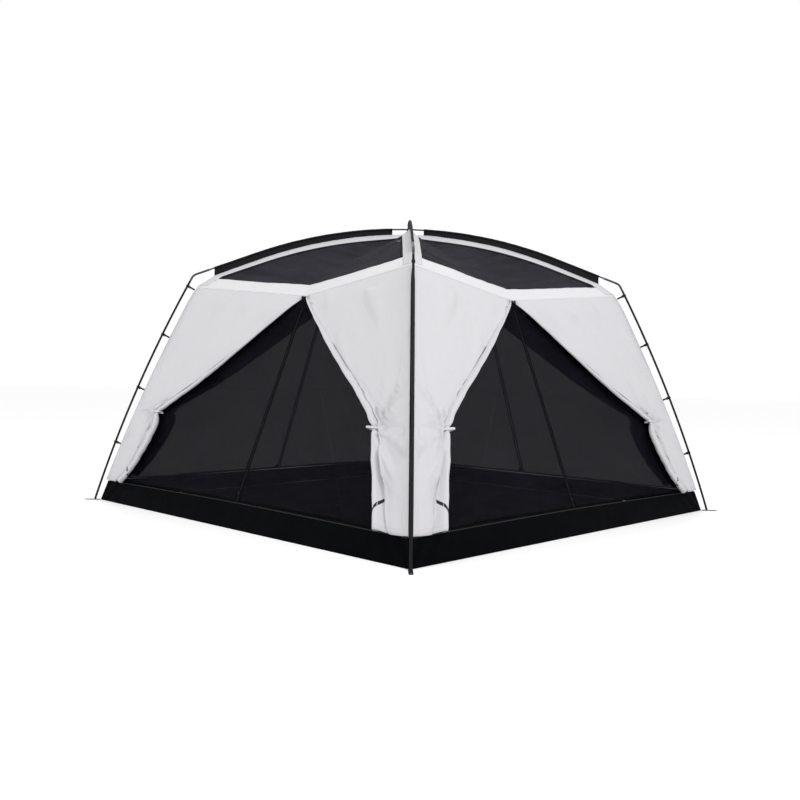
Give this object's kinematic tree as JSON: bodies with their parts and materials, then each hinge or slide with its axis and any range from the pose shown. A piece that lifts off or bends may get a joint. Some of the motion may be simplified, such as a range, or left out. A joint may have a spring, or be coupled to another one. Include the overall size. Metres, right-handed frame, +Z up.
{
  "type": "screen house",
  "caption": "Square dome screen house: crossing poles, mesh roof and walls, tied-back curtains and bathtub floor.",
  "frame": {"origin": "centre of the ground sheet, on the ground", "axes": "+Z up; -Y out through the front wall; +X to the right seen from the front"},
  "size_m": [3.5206, 3.5206, 2.1721],
  "materials": {
    "steel_tube": "satin black",
    "elbow_steel": "satin black",
    "fibreglass": "satin",
    "bright_metal": "brushed",
    "foot_plastic": "matte",
    "clip_plastic": "matte",
    "webbing": "woven",
    "sleeve_cloth": "woven",
    "white_trim": "woven",
    "eave_cloth": "woven",
    "curtain_cloth": "woven, dark backed",
    "roof_mesh": "fine mesh",
    "wall_mesh": "fine mesh",
    "door_mesh": "fine mesh",
    "zip_metal": "black",
    "ground_sheet": "coated",
    "bathtub_cloth": "coated"
  },
  "bodies": {
    "shelter": {"leg_lower_fr": "steel_tube", "leg_lower_br": "steel_tube", "leg_lower_bl": "steel_tube", "leg_lower_fl": "steel_tube", "leg_upper_fr": "steel_tube", "leg_upper_br": "steel_tube", "leg_upper_bl": "steel_tube", "leg_upper_fl": "steel_tube", "elbow_fr": "elbow_steel", "elbow_br": "elbow_steel", "elbow_bl": "elbow_steel", "elbow_fl": "elbow_steel", "roof_pole_lower": "fibreglass", "roof_pole_upper": "fibreglass", "pole_joiners": "bright_metal", "foot_tips": "foot_plastic", "corner_straps": "webbing", "peg_eyelets": "bright_metal", "leg_clips": "clip_plastic", "clip_tabs": "webbing", "sleeve_fr": "sleeve_cloth", "sleeve_br": "sleeve_cloth", "sleeve_bl": "sleeve_cloth", "sleeve_fl": "sleeve_cloth", "ridge_trim": "white_trim", "eave_band_front": "eave_cloth", "eave_band_right": "eave_cloth", "eave_band_back": "eave_cloth", "eave_band_left": "eave_cloth", "roof_mesh_front": "roof_mesh", "roof_mesh_right": "roof_mesh", "roof_mesh_back": "roof_mesh", "roof_mesh_left": "roof_mesh", "curtains_front": "curtain_cloth", "curtains_right": "curtain_cloth", "curtains_back": "curtain_cloth", "curtains_left": "curtain_cloth", "wall_mesh_front": "wall_mesh", "wall_mesh_right": "wall_mesh", "wall_mesh_back": "wall_mesh", "wall_mesh_left": "wall_mesh", "curtain_sliders": "zip_metal", "tie_backs": "white_trim", "floor_sheet": "ground_sheet", "band_front": "bathtub_cloth", "band_right": "bathtub_cloth", "band_back": "bathtub_cloth", "band_left": "bathtub_cloth"},
    "door_front_l": {"flap_front_l": "door_mesh"},
    "door_front_r": {"flap_front_r": "door_mesh"},
    "zip_front": {"slider_front": "zip_metal"},
    "door_right_l": {"flap_right_l": "door_mesh"},
    "door_right_r": {"flap_right_r": "door_mesh"},
    "zip_right": {"slider_right": "zip_metal"},
    "door_back_l": {"flap_back_l": "door_mesh"},
    "door_back_r": {"flap_back_r": "door_mesh"},
    "zip_back": {"slider_back": "zip_metal"},
    "door_left_l": {"flap_left_l": "door_mesh"},
    "door_left_r": {"flap_left_r": "door_mesh"},
    "zip_left": {"slider_left": "zip_metal"}
  },
  "joints": [
    {"name": "door_front_l_fold", "type": "hinge", "parent": "shelter", "child": "door_front_l", "pos_m": [-1.05, -1.57444, 0.15601], "axis": [-0.5799, -0.3033, -0.7561], "range_deg": [0, 100]},
    {"name": "door_front_r_fold", "type": "hinge", "parent": "shelter", "child": "door_front_r", "pos_m": [1.05, -1.57444, 0.15601], "axis": [-0.5799, 0.3033, 0.7561], "range_deg": [0, 100]},
    {"name": "zip_front_run", "type": "slide", "parent": "door_front_l", "child": "zip_front", "axis": [0, 0.3723, 0.9281], "range_m": [0, 1.33]},
    {"name": "door_right_l_fold", "type": "hinge", "parent": "shelter", "child": "door_right_l", "pos_m": [1.57444, -1.05, 0.15601], "axis": [0.3033, -0.5799, -0.7561], "range_deg": [0, 100]},
    {"name": "door_right_r_fold", "type": "hinge", "parent": "shelter", "child": "door_right_r", "pos_m": [1.57444, 1.05, 0.15601], "axis": [-0.3033, -0.5799, 0.7561], "range_deg": [0, 100]},
    {"name": "zip_right_run", "type": "slide", "parent": "door_right_l", "child": "zip_right", "axis": [-0.3723, 0, 0.9281], "range_m": [0, 1.33]},
    {"name": "door_back_l_fold", "type": "hinge", "parent": "shelter", "child": "door_back_l", "pos_m": [1.05, 1.57444, 0.15601], "axis": [0.5799, 0.3033, -0.7561], "range_deg": [0, 100]},
    {"name": "door_back_r_fold", "type": "hinge", "parent": "shelter", "child": "door_back_r", "pos_m": [-1.05, 1.57444, 0.15601], "axis": [0.5799, -0.3033, 0.7561], "range_deg": [0, 100]},
    {"name": "zip_back_run", "type": "slide", "parent": "door_back_l", "child": "zip_back", "axis": [0, -0.3723, 0.9281], "range_m": [0, 1.33]},
    {"name": "door_left_l_fold", "type": "hinge", "parent": "shelter", "child": "door_left_l", "pos_m": [-1.57444, 1.05, 0.15601], "axis": [-0.3033, 0.5799, -0.7561], "range_deg": [0, 100]},
    {"name": "door_left_r_fold", "type": "hinge", "parent": "shelter", "child": "door_left_r", "pos_m": [-1.57444, -1.05, 0.15601], "axis": [0.3033, 0.5799, 0.7561], "range_deg": [0, 100]},
    {"name": "zip_left_run", "type": "slide", "parent": "door_left_l", "child": "zip_left", "axis": [0.3723, 0, 0.9281], "range_m": [0, 1.33]}
  ]
}
